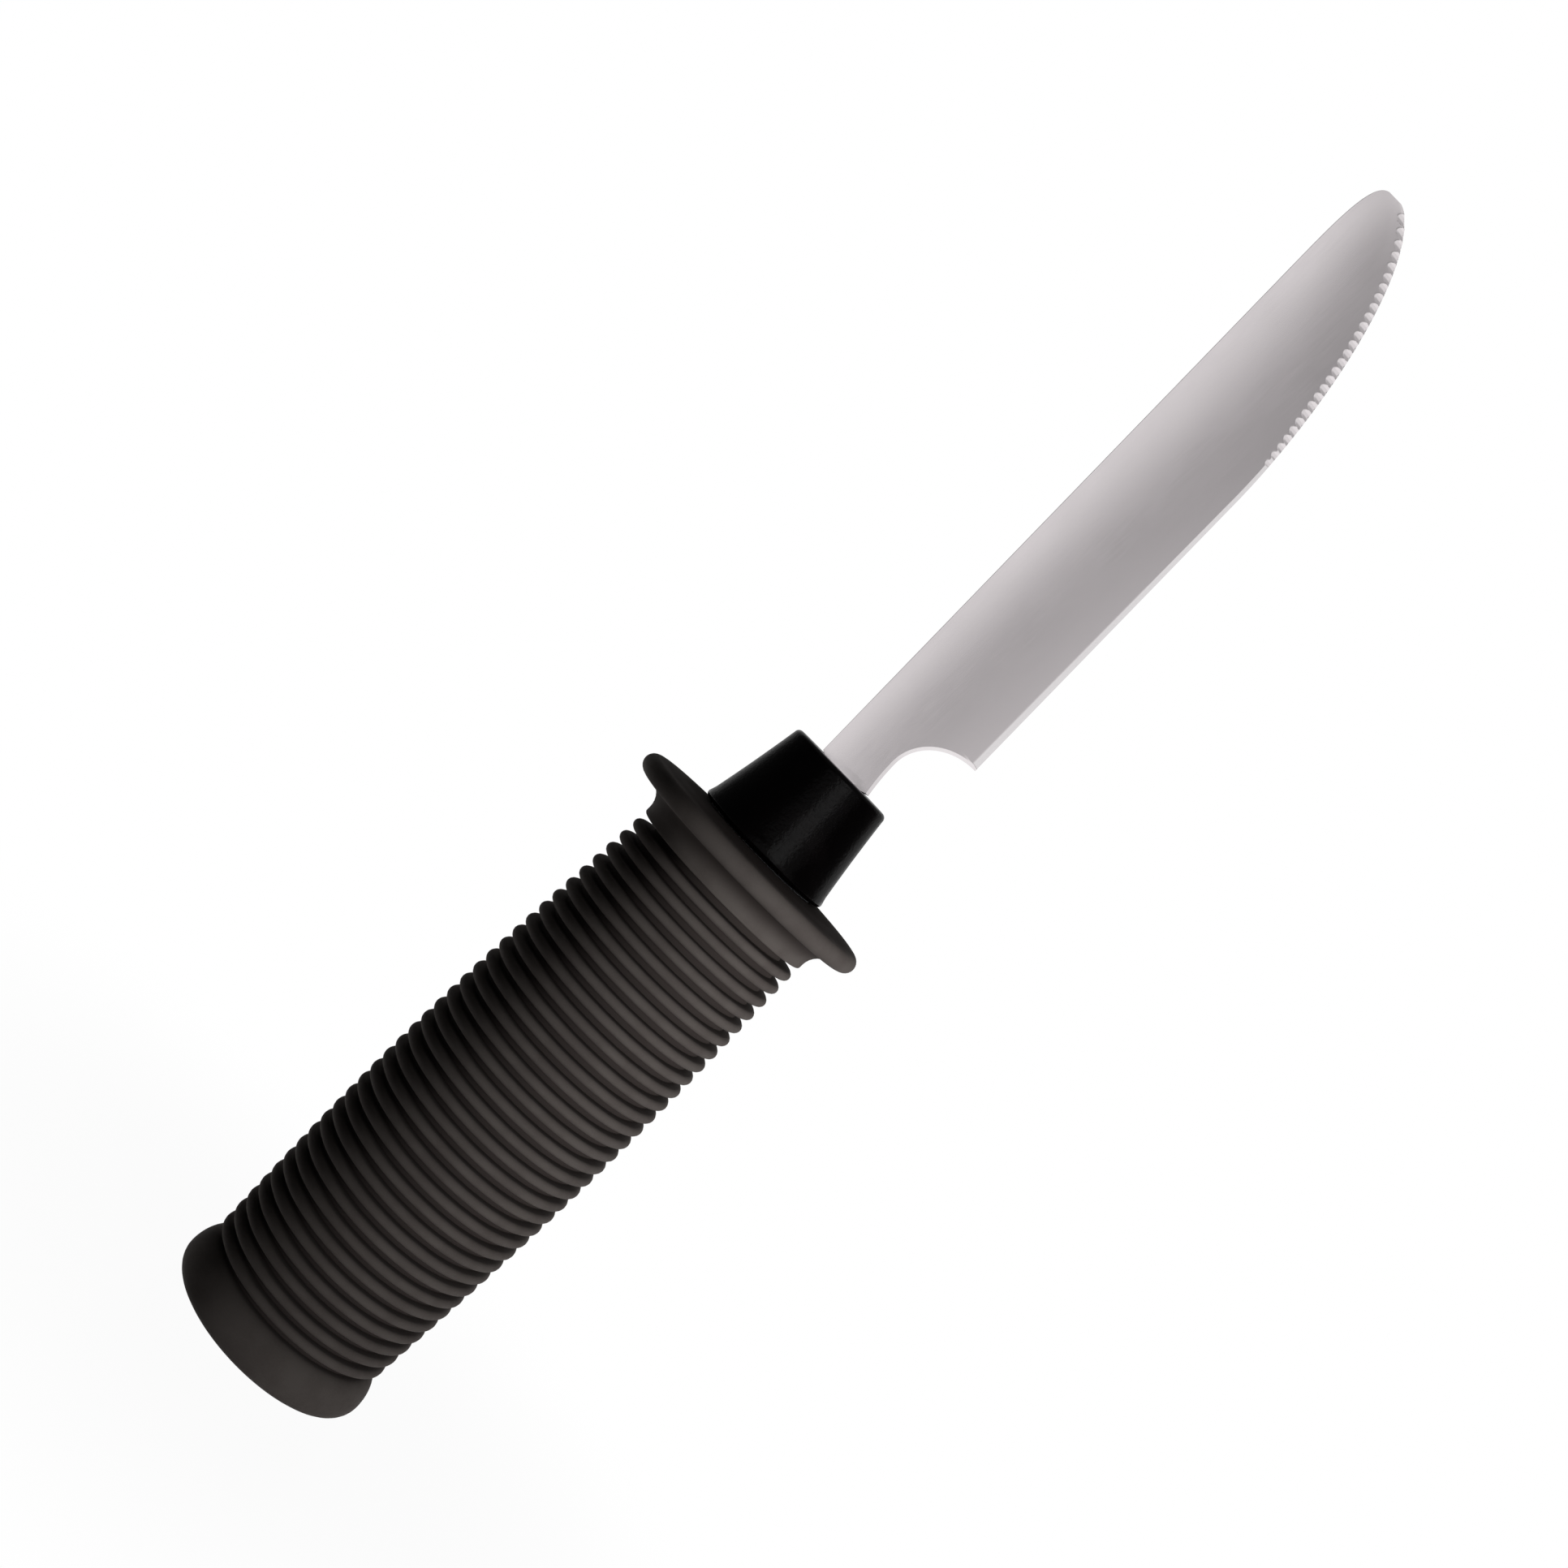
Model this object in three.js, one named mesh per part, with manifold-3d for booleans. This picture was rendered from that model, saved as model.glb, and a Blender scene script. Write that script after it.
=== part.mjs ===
// A table knife with a built-up grip: a blade serrated along its belly, a plastic collar,
// and a ribbed rubber sleeve with a finger guard, on a hollow core closed by an end plug.
// Millimetres, +Z up. The knife stands on the flat end of its grip, its axis on Z,
// its cutting edge towards +X and its fluted face towards -Y.
import * as THREE from "three";
import { mergeVertices } from "three/addons/utils/BufferGeometryUtils.js";
import Module from "manifold-3d";

const wasm = await Module();
wasm.setup();

// Fits
const FIT_GAP = 0.3;
const ROUND_SEGMENTS = 28;
const ROD_SEGMENTS = 12;
const FLUTE_SEGMENTS = 16;

// Grip sleeve
const BORE_RADIUS = 11;
const BUTT_RADIUS = 18.25;
const BUTT_CORNER = 3;
const SKIRT_HEIGHT = 7.6;
const SKIRT_DROP = 1.5;
const RIB_COUNT = 33;
const RIB_PITCH = 2.755;
const RIB_WIDTH = 1.6;
const RIB_RADIUS = 17;
const RIB_DEPTH = 2.1;
const PALM_SWELL = 1.4;
const NECK_RADIUS = 16.9;
const NECK_BAND_HEIGHT = 4.3;
const NECK_GROOVE_WIDTH = 1.35;
const NECK_GROOVE_DEPTH = 3;
const NECK_FILLET = 3.4;
const GUARD_RADIUS = 22.85;
const GUARD_THICKNESS = 3.25;
const GUARD_CROWN = 0.7;

// Core tube and end plug
const CORE_WALL = 2.5;
const CORE_CHAMFER = 0.6;
const PLUG_HEAD = 2.6;
const PLUG_RECESS = 0.5;
const PLUG_SPIGOT = 9;
const PLUG_WALL = 1.8;
const PLUG_CHAMFER = 0.5;

// Collar
const COLLAR_LENGTH = 17.3;
const COLLAR_TOP_RADIUS = 9.55;
const COLLAR_BASE_RADIUS = 12.4;
const COLLAR_HOLLOW = 0.18;
const COLLAR_TOP_ROUND = 0.9;
const COLLAR_BASE_ROUND = 0.7;
const SPIGOT_FLOOR = 3;
const SPIGOT_CHAMFER = 1;

// Blade: widths are measured across the axis, from the back at -X to the edge at +X
const BLADE_LENGTH = 120.75;
const BLADE_WIDTH = 19;
const BACK_OFFSET = 4.6;
const BACK_THICKNESS = 1.8;
const TIP_THICKNESS = 1.2;
const EDGE_THICKNESS = 0.7;
const EDGE_LAND = 0.2;
const BEVEL_WIDTH = 0.65;
const EDGE_BREAK = 0.2;
const BLADE_CANT_DEGREES = 1.8;
const BELLY_LENGTH = 49;
const BELLY_POWER = 1.85;
const NOSE_LENGTH = 20.5;
const NOSE_POWER = 4;
const TIP_ANGLE_DEGREES = 86;
const NECK_LENGTH = 6.6;
const NECK_WIDTH = 9.4;
const NECK_FLARE = 0.5;
const CHOIL_LENGTH = 8.1;

// Serrations on the belly, evenly spaced along the blade
const FLUTE_COUNT = 27;
const FLUTE_PITCH = 1.54;
const FLUTE_RADIUS = 0.86;
const FLUTE_REACH = 1.35;
const FLUTE_OVERCUT = 0.12;
const FLUTE_TIP_MARGIN = 1.5;
const FLUTE_RUN_IN = 8;
const FLUTE_RUN_IN_LIFT = 0.15;

// Tang and its two pins
const TANG_DEPTH = 30;
const TANG_WIDTH = 8.5;
const TANG_CHAMFER = 1.5;
const PIN_RADIUS = 1.5;
const PIN_SPACING = 13;
const PIN_END_MARGIN = 7;

// Heights and radii that follow from the sizes above
const RIB_LENGTH = RIB_COUNT * RIB_PITCH;
const RIB_TOP = SKIRT_HEIGHT + RIB_LENGTH;
const NECK_BOTTOM = RIB_TOP + NECK_GROOVE_WIDTH;
const GUARD_BOTTOM = NECK_BOTTOM + NECK_BAND_HEIGHT;
const GUARD_TOP = GUARD_BOTTOM + GUARD_THICKNESS;
const GRIP_HEIGHT = GUARD_TOP + GUARD_CROWN;
const COLLAR_BASE = GRIP_HEIGHT + FIT_GAP;
const COLLAR_TOP = COLLAR_BASE + COLLAR_LENGTH;
const CORE_RADIUS = BORE_RADIUS - FIT_GAP;
const CORE_BORE = CORE_RADIUS - CORE_WALL;
const CORE_BOTTOM = PLUG_RECESS + PLUG_HEAD + FIT_GAP;
const SPIGOT_RADIUS = CORE_BORE - FIT_GAP;
const SPIGOT_DEPTH = TANG_DEPTH + FIT_GAP + SPIGOT_FLOOR;
const EDGE_OFFSET = BLADE_WIDTH - BACK_OFFSET;
const NECK_EDGE = NECK_WIDTH - BACK_OFFSET;
const TANG_CENTRE = NECK_EDGE - NECK_WIDTH / 2;
const BELLY_START = BLADE_LENGTH - BELLY_LENGTH;
const FLUTE_START = BLADE_LENGTH - FLUTE_TIP_MARGIN - (FLUTE_COUNT - 1) * FLUTE_PITCH;
const BLADE_LEAN = Math.tan(THREE.MathUtils.degToRad(BLADE_CANT_DEGREES));
const PIN_DEPTHS = { tang_pin_upper: TANG_DEPTH - PIN_END_MARGIN - PIN_SPACING,
  tang_pin_lower: TANG_DEPTH - PIN_END_MARGIN };

// Materials
const satinSteel = new THREE.MeshStandardMaterial({ color: 0xc4c0c0, roughness: 0.32, metalness: 1 });
const pinSteel = new THREE.MeshStandardMaterial({ color: 0xb0b0b0, roughness: 0.4, metalness: 1 });
const blackPlastic = new THREE.MeshStandardMaterial({ color: 0x0b0909, roughness: 0.38, metalness: 0 });
const corePlastic = new THREE.MeshStandardMaterial({ color: 0x3a3a3c, roughness: 0.5, metalness: 0 });
const greyRubber = new THREE.MeshStandardMaterial({ color: 0x39332f, roughness: 0.75, metalness: 0 });

// Points on an elliptical arc in the (radius, height) plane
function arc(centre, radii, fromDegrees, toDegrees, steps) {
  return Array.from({ length: steps + 1 }, (_, step) => {
    const angle = THREE.MathUtils.degToRad(fromDegrees + (toDegrees - fromDegrees) * step / steps);
    return [centre[0] + radii[0] * Math.cos(angle), centre[1] + radii[1] * Math.sin(angle)];
  });
}

// Turns a (radius, height) profile about Z
function revolve(profile) {
  const points = profile.map(([radius, height]) => new THREE.Vector2(radius, height));
  return new THREE.LatheGeometry(points, ROUND_SEGMENTS).rotateX(Math.PI / 2);
}

// Keeps only shared corners and whole triangles of a geometry
function closedGeometry(geometry) {
  geometry.deleteAttribute("normal");
  geometry.deleteAttribute("uv");
  const merged = mergeVertices(geometry);
  const corners = merged.index.array;
  const kept = [];
  for (let start = 0; start < corners.length; start += 3) {
    const [a, b, c] = corners.slice(start, start + 3);
    if (a !== b && b !== c && c !== a) {
      kept.push(a, b, c);
    }
  }
  merged.setIndex(kept);
  return merged;
}

function toSolid(geometry) {
  const closed = closedGeometry(geometry);
  return new wasm.Manifold(new wasm.Mesh({
    numProp: 3,
    vertProperties: new Float32Array(closed.attributes.position.array),
    triVerts: new Uint32Array(closed.index.array),
  }));
}

function toGeometry(solid) {
  const mesh = solid.getMesh();
  const geometry = new THREE.BufferGeometry();
  geometry.setAttribute("position", new THREE.BufferAttribute(mesh.vertProperties, 3));
  geometry.setIndex(new THREE.BufferAttribute(mesh.triVerts, 1));
  geometry.computeVertexNormals();
  return geometry;
}

// A named piece set at a height on the axis
function piece(name, geometry, material, height) {
  const mesh = new THREE.Mesh(geometry, material);
  mesh.name = name;
  mesh.position.z = height;
  return mesh;
}

// Crest radius of the ribs, which swell to fill the palm
function crestRadius(height) {
  return RIB_RADIUS + PALM_SWELL * Math.sin(Math.PI * (height - SKIRT_HEIGHT) / RIB_LENGTH);
}

// A flat-bottomed groove and the round-topped rib over it
function ribProfile(rib) {
  const bottom = SKIRT_HEIGHT + rib * RIB_PITCH;
  const round = RIB_WIDTH / 2;
  const middle = bottom + RIB_PITCH - round;
  const crest = crestRadius(middle);
  return [
    [crest - RIB_DEPTH, bottom],
    [crest - RIB_DEPTH, middle - round],
    ...arc([crest - round, middle], [round, round], -90, 90, 3),
  ];
}

// Sleeve: flat end, rounded skirt, ribs, deep groove, neck band, finger guard and straight bore
function gripSleeve() {
  const skirtTop = RIB_RADIUS - SKIRT_DROP;
  const rimRadius = GUARD_THICKNESS / 2;
  const rimCentre = GUARD_RADIUS - rimRadius;
  const profile = [
    [BORE_RADIUS, 0],
    ...arc([BUTT_RADIUS - BUTT_CORNER, BUTT_CORNER], [BUTT_CORNER, BUTT_CORNER], -90, 0, 3),
    ...arc([skirtTop, BUTT_CORNER], [BUTT_RADIUS - skirtTop, SKIRT_HEIGHT - BUTT_CORNER], 25, 80, 3),
  ];
  for (let rib = 0; rib < RIB_COUNT; rib += 1) {
    profile.push(...ribProfile(rib));
  }
  profile.push(
    [NECK_RADIUS - NECK_GROOVE_DEPTH, RIB_TOP],
    [NECK_RADIUS - NECK_GROOVE_DEPTH, NECK_BOTTOM - EDGE_BREAK],
    [NECK_RADIUS - EDGE_BREAK, NECK_BOTTOM],
    ...arc([NECK_RADIUS + NECK_FILLET, GUARD_BOTTOM - NECK_FILLET], [NECK_FILLET, NECK_FILLET], 180, 90, 3),
    ...arc([rimCentre, GUARD_BOTTOM + rimRadius], [rimRadius, rimRadius], -90, 90, 6),
    [COLLAR_BASE_RADIUS + FIT_GAP, GRIP_HEIGHT],
    [BORE_RADIUS, GRIP_HEIGHT],
    [BORE_RADIUS, 0],
  );
  return revolve(profile);
}

function coreTube() {
  const height = GRIP_HEIGHT - CORE_BOTTOM;
  return revolve([
    [CORE_BORE, CORE_CHAMFER],
    [CORE_BORE + CORE_CHAMFER, 0],
    [CORE_RADIUS, 0],
    [CORE_RADIUS, height],
    [CORE_BORE + CORE_CHAMFER, height],
    [CORE_BORE, height - CORE_CHAMFER],
    [CORE_BORE, CORE_CHAMFER],
  ]);
}

// Plug: a flat head under the core's end and a cup that fills its bore
function endPlug() {
  const spigotTop = PLUG_HEAD + FIT_GAP + PLUG_SPIGOT;
  return revolve([
    [0, 0],
    [CORE_RADIUS - PLUG_CHAMFER, 0],
    [CORE_RADIUS, PLUG_CHAMFER],
    [CORE_RADIUS, PLUG_HEAD],
    [SPIGOT_RADIUS, PLUG_HEAD],
    [SPIGOT_RADIUS, spigotTop - PLUG_CHAMFER],
    [SPIGOT_RADIUS - PLUG_CHAMFER, spigotTop],
    [SPIGOT_RADIUS - PLUG_WALL, spigotTop],
    [SPIGOT_RADIUS - PLUG_WALL, PLUG_HEAD],
    [0, PLUG_HEAD],
  ]);
}

function collarRadius(share) {
  const spread = COLLAR_BASE_RADIUS - COLLAR_TOP_RADIUS;
  return COLLAR_BASE_RADIUS - spread * share * (1 + COLLAR_HOLLOW * (1 - share));
}

// A rod across the collar and the tang, along Y, at a depth under the collar's base
function crossRod(radius, length, depth) {
  const rod = new THREE.CylinderGeometry(radius, radius, length, ROD_SEGMENTS);
  return rod.translate(TANG_CENTRE, 0, -depth);
}

// Collar: a flared cap over the sleeve, a spigot in the core, a slot for the tang and two pin holes
function collar() {
  const flareSteps = 6;
  const profile = [
    [0, -SPIGOT_DEPTH],
    [SPIGOT_RADIUS - SPIGOT_CHAMFER, -SPIGOT_DEPTH],
    [SPIGOT_RADIUS, SPIGOT_CHAMFER - SPIGOT_DEPTH],
    [SPIGOT_RADIUS, 0],
    ...arc([COLLAR_BASE_RADIUS - COLLAR_BASE_ROUND, COLLAR_BASE_ROUND],
      [COLLAR_BASE_ROUND, COLLAR_BASE_ROUND], -90, 0, 3),
  ];
  for (let step = 1; step <= flareSteps; step += 1) {
    const flareTop = COLLAR_LENGTH - COLLAR_TOP_ROUND;
    const height = THREE.MathUtils.lerp(COLLAR_BASE_ROUND, flareTop, step / flareSteps);
    profile.push([collarRadius(height / COLLAR_LENGTH), height]);
  }
  const shoulder = collarRadius(1 - COLLAR_TOP_ROUND / COLLAR_LENGTH);
  profile.push(
    ...arc([shoulder - COLLAR_TOP_ROUND, COLLAR_LENGTH - COLLAR_TOP_ROUND],
      [COLLAR_TOP_ROUND, COLLAR_TOP_ROUND], 30, 90, 2),
    [0, COLLAR_LENGTH],
  );
  const slotBottom = -TANG_DEPTH - FIT_GAP;
  const slotTop = COLLAR_LENGTH + FIT_GAP;
  const slotWidth = TANG_WIDTH + 2 * FIT_GAP;
  const slotThickness = BACK_THICKNESS + 2 * FIT_GAP;
  const slot = new THREE.BoxGeometry(slotWidth, slotThickness, slotTop - slotBottom);
  slot.translate(TANG_CENTRE, 0, (slotTop + slotBottom) / 2);
  let solid = toSolid(revolve(profile)).subtract(toSolid(slot));
  for (const depth of Object.values(PIN_DEPTHS)) {
    const drill = crossRod(PIN_RADIUS + FIT_GAP, 2 * COLLAR_BASE_RADIUS, depth);
    solid = solid.subtract(toSolid(drill));
  }
  return toGeometry(solid);
}

// Pins end just inside the spigot, so that the core holds them in
function tangPin(depth) {
  const reach = Math.abs(TANG_CENTRE) + PIN_RADIUS;
  return crossRod(PIN_RADIUS, 2 * Math.sqrt(SPIGOT_RADIUS ** 2 - reach ** 2) - FIT_GAP, depth);
}

// Share of its full offset that an outline keeps on its way to the tip; 2 is an ellipse, more is blunter
function tipShare(along, length, power) {
  const past = THREE.MathUtils.clamp((along - BLADE_LENGTH + length) / length, 0, 1);
  return (1 - past ** power) ** (1 / power);
}

// Edge of the blade, straight and then curved up to the tip
function edgeOffset(along) {
  return EDGE_OFFSET * tipShare(along, BELLY_LENGTH, BELLY_POWER);
}

// Back of the blade, straight and then rounded down to the tip
function backOffset(along) {
  return -BACK_OFFSET * tipShare(along, NOSE_LENGTH, NOSE_POWER);
}

function backThickness(along) {
  const share = THREE.MathUtils.clamp(along / BLADE_LENGTH, 0, 1);
  return THREE.MathUtils.lerp(BACK_THICKNESS, TIP_THICKNESS, share);
}

// Where a point (along, across, through) of the straight blade lies once the blade leans to its back
function leaned(along, across, through) {
  return new THREE.Vector3(across - BLADE_LEAN * Math.max(0, along), through, along);
}

// Half the blade's thickness at a distance from its back: crowned faces thin out over a given reach
function halfThickness(along, distance, reach) {
  const half = backThickness(along) / 2;
  return half - (half - EDGE_THICKNESS / 2) * Math.min(1, distance / reach) ** 2;
}

// Share of their full depth that the flutes have at a place along the blade
function fluteShare(along) {
  return THREE.MathUtils.clamp((along - FLUTE_START) / FLUTE_RUN_IN, 0, 1);
}

// A closed ring round the blade: broken back corners, crowned faces, then a drop down to the edge on
// the fluted face and on the other one
function bladeRing(along, back, edge, bevel, reach, frontDrop, rearDrop) {
  const shoulder = edge - bevel - back;
  const crown = [0.5, 0.8, 1].map((share) => {
    return [back + shoulder * share, halfThickness(along, shoulder * share, reach)];
  });
  const half = backThickness(along) / 2;
  const face = (drop) => [
    [back, half - EDGE_BREAK],
    [back + EDGE_BREAK, half],
    ...crown,
    [edge, halfThickness(along, shoulder, reach) - drop],
  ];
  const front = face(frontDrop).map(([across, through]) => leaned(along, across, -through));
  const rear = face(rearDrop).map(([across, through]) => leaned(along, across, through)).reverse();
  return [...front, ...rear];
}

// A ring of the tang, flat and with broken corners
function tangRing(along, width) {
  const back = TANG_CENTRE - width / 2;
  return bladeRing(along, back, back + width, EDGE_BREAK, Infinity, EDGE_BREAK, EDGE_BREAK);
}

// A ring of the neck or the choil, with broken corners and no bevel
function neckRing(along, edge) {
  const reach = BLADE_WIDTH - BEVEL_WIDTH;
  return bladeRing(along, -BACK_OFFSET, edge, EDGE_BREAK, reach, EDGE_BREAK, EDGE_BREAK);
}

// A ring with a sharpened edge, where the flutes take the place of the bevel on their face
function edgeRing(along, back, edge, bevel) {
  const drop = (EDGE_THICKNESS - EDGE_LAND) / 2;
  return bladeRing(along, back, edge, bevel, edge - bevel - back, drop * (1 - fluteShare(along)), drop);
}

// A ring on the belly, whose bevel keeps its width square to the curved edge
function bellyRing(angle) {
  const along = BELLY_START + BELLY_LENGTH * Math.sin(angle);
  const edge = edgeOffset(along);
  const back = backOffset(along);
  const slope = EDGE_OFFSET / BELLY_LENGTH * (Math.sin(angle) * EDGE_OFFSET / edge) ** (BELLY_POWER - 1);
  return edgeRing(along, back, edge, Math.min(BEVEL_WIDTH * Math.hypot(1, slope), (edge - back) / 3));
}

function loft(rings) {
  const count = rings[0].length;
  const last = (rings.length - 1) * count;
  const corners = [];
  for (let start = 0; start < last; start += count) {
    for (let side = 0; side < count; side += 1) {
      const here = start + side;
      const next = start + (side + 1) % count;
      corners.push(here, next, next + count, here, next + count, here + count);
    }
  }
  for (let side = 1; side < count - 1; side += 1) {
    corners.push(0, side + 1, side, last, last + side, last + side + 1);
  }
  const geometry = new THREE.BufferGeometry().setFromPoints(rings.flat());
  geometry.setIndex(corners);
  return geometry;
}

// One round-bottomed cutter across the blade that runs out of the fluted face and through the edge
function fluteCutter(along) {
  const fall = (EDGE_THICKNESS / 2 + FLUTE_OVERCUT) / FLUTE_REACH;
  const overcut = FLUTE_OVERCUT - FLUTE_RUN_IN_LIFT * (1 - fluteShare(along));
  const axis = new THREE.Vector3(1, fall, 0).normalize();
  const cutter = new THREE.CylinderGeometry(FLUTE_RADIUS, FLUTE_RADIUS, 4 * FLUTE_REACH, FLUTE_SEGMENTS);
  cutter.applyQuaternion(new THREE.Quaternion().setFromUnitVectors(new THREE.Vector3(0, 1, 0), axis));
  const centre = leaned(along, edgeOffset(along), overcut - FLUTE_RADIUS);
  return cutter.translate(centre.x, centre.y, centre.z);
}

// Blade: tang, neck, choil, straight edge and belly in one loft, with flutes and two pin holes cut
function blade() {
  const choilSteps = 6;
  const neckSteps = 3;
  const bellySteps = 18;
  const tangEnd = -COLLAR_LENGTH - TANG_DEPTH;
  const rings = [
    tangRing(tangEnd, TANG_WIDTH - 2 * TANG_CHAMFER),
    tangRing(tangEnd + TANG_CHAMFER, TANG_WIDTH),
    tangRing(0, TANG_WIDTH),
  ];
  for (let step = 0; step <= neckSteps; step += 1) {
    const share = step / neckSteps;
    const flare = NECK_FLARE * (1 - share) ** 2;
    rings.push(neckRing(THREE.MathUtils.lerp(FIT_GAP, NECK_LENGTH, share), NECK_EDGE + flare));
  }
  for (let step = 1; step < choilSteps; step += 1) {
    const angle = Math.PI / 2 * step / choilSteps;
    const depth = (EDGE_OFFSET - NECK_EDGE) * (1 - Math.cos(angle));
    rings.push(neckRing(NECK_LENGTH + CHOIL_LENGTH * Math.sin(angle), NECK_EDGE + depth));
  }
  rings.push(edgeRing(NECK_LENGTH + CHOIL_LENGTH, -BACK_OFFSET, EDGE_OFFSET, BEVEL_WIDTH));
  for (let step = 0; step <= bellySteps; step += 1) {
    rings.push(bellyRing(THREE.MathUtils.degToRad(TIP_ANGLE_DEGREES) * step / bellySteps));
  }
  let solid = toSolid(loft(rings));
  for (let flute = 0; flute < FLUTE_COUNT; flute += 1) {
    solid = solid.subtract(toSolid(fluteCutter(FLUTE_START + flute * FLUTE_PITCH)));
  }
  for (const depth of Object.values(PIN_DEPTHS)) {
    const drill = crossRod(PIN_RADIUS + FIT_GAP, 2 * SPIGOT_RADIUS, COLLAR_LENGTH + depth);
    solid = solid.subtract(toSolid(drill));
  }
  return toGeometry(solid);
}

const knife = new THREE.Group();
knife.add(
  piece("blade", blade(), satinSteel, COLLAR_TOP),
  piece("collar", collar(), blackPlastic, COLLAR_BASE),
  piece("core_tube", coreTube(), corePlastic, CORE_BOTTOM),
  piece("grip_sleeve", gripSleeve(), greyRubber, 0),
  piece("end_plug", endPlug(), blackPlastic, PLUG_RECESS),
);
for (const [name, depth] of Object.entries(PIN_DEPTHS)) {
  knife.add(piece(name, tangPin(depth), pinSteel, COLLAR_BASE));
}

export default knife;
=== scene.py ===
"""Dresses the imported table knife: satin blade, black collar and ribbed rubber grip, on white."""
import logging
import math
from dataclasses import dataclass, field
from enum import Enum
from typing import Any, Iterable, Union

import bmesh
import bpy
import numpy as np
from mathutils import Matrix, Vector


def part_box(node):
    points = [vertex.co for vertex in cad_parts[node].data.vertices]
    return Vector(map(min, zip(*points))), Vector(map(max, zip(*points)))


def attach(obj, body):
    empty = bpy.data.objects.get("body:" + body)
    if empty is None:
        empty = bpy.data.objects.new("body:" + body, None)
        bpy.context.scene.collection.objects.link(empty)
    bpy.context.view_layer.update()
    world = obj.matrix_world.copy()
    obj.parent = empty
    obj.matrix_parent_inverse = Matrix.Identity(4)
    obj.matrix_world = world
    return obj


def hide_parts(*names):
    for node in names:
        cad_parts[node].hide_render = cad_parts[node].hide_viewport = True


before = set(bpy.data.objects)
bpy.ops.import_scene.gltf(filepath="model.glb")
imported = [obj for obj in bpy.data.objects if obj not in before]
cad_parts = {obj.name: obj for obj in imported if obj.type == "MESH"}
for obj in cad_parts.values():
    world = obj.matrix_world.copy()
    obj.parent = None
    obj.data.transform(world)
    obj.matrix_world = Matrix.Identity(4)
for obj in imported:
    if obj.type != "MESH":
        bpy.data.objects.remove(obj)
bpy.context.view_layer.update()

LOG = logging.getLogger("knife")

# Sizes below are in millimetres; the frame is in metres
MM = 0.001
WELD = 1e-7

# The angle in degrees from which an edge of a turned piece stays crisp
CREASE = 40.0

# The middle level of a noise pattern
PATTERN_MIDDLE = 0.5

Colour = tuple[float, float, float]
Stretch = tuple[float, float, float]
Point = tuple[float, float]
Range = tuple[float, float]


class Slot(Enum):
    """The record's material slots."""

    BLADE = "blade_steel"
    COLLAR = "collar_plastic"
    PIN = "pin_steel"
    CORE = "core_plastic"
    GRIP = "grip_rubber"
    PLUG = "plug_plastic"


class Face(Enum):
    """The two faces of the blade, by the sign of Y that they point to."""

    FLUTED = -1
    PLAIN = 1


# Node trees


class Wire:
    """A value in a node tree, which Python arithmetic extends with Math nodes."""

    def __init__(self, nodes: "Nodes", socket: bpy.types.NodeSocket) -> None:
        """Wraps one output socket."""
        self.nodes = nodes
        self.socket = socket

    def math(self, operation: str, *values: "Operand") -> "Wire":
        """Adds one Math node.

        Args:
            operation: the Math node's operation.
            values: what its inputs take, in order.

        Returns:
            The node's result.
        """
        return self.nodes.wire("ShaderNodeMath", {"operation": operation}, dict(enumerate(values)))

    def __add__(self, other: "Operand") -> "Wire":
        """This value plus another."""
        return self.math("ADD", self, other)

    def __radd__(self, other: "Operand") -> "Wire":
        """Another value plus this one."""
        return self.math("ADD", other, self)

    def __sub__(self, other: "Operand") -> "Wire":
        """This value less another."""
        return self.math("SUBTRACT", self, other)

    def __rsub__(self, other: "Operand") -> "Wire":
        """Another value less this one."""
        return self.math("SUBTRACT", other, self)

    def __mul__(self, other: "Operand") -> "Wire":
        """This value times another."""
        return self.math("MULTIPLY", self, other)

    def __rmul__(self, other: "Operand") -> "Wire":
        """Another value times this one."""
        return self.math("MULTIPLY", other, self)

    def __truediv__(self, other: "Operand") -> "Wire":
        """This value over another."""
        return self.math("DIVIDE", self, other)

    def __pow__(self, other: "Operand") -> "Wire":
        """This value to a power."""
        return self.math("POWER", self, other)

    def centred(self) -> "Wire":
        """A noise pattern with its middle level at zero."""
        return self - PATTERN_MIDDLE

    def clamped(self) -> "Wire":
        """This value held between 0 and 1."""
        return self.math("MINIMUM", self.math("MAXIMUM", self, 0.0), 1.0)

    def towards(self, target: "Operand", share: "Operand") -> "Wire":
        """Moves this value a share of the way to another."""
        return self + (target - self) * share

    def between(self, low: float, high: float) -> "Wire":
        """Eases this value from 0 at one level to 1 at another.

        Args:
            low: the level that gives 0.
            high: the level that gives 1.

        Returns:
            The eased value.
        """
        settings = {"interpolation_type": "SMOOTHSTEP"}
        sockets = {"Value": self, "From Min": low, "From Max": high}
        return self.nodes.wire("ShaderNodeMapRange", settings, sockets)


Operand = Union[Wire, float]
Socket = Union[Wire, float, tuple[float, ...], bpy.types.NodeSocket]


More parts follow.
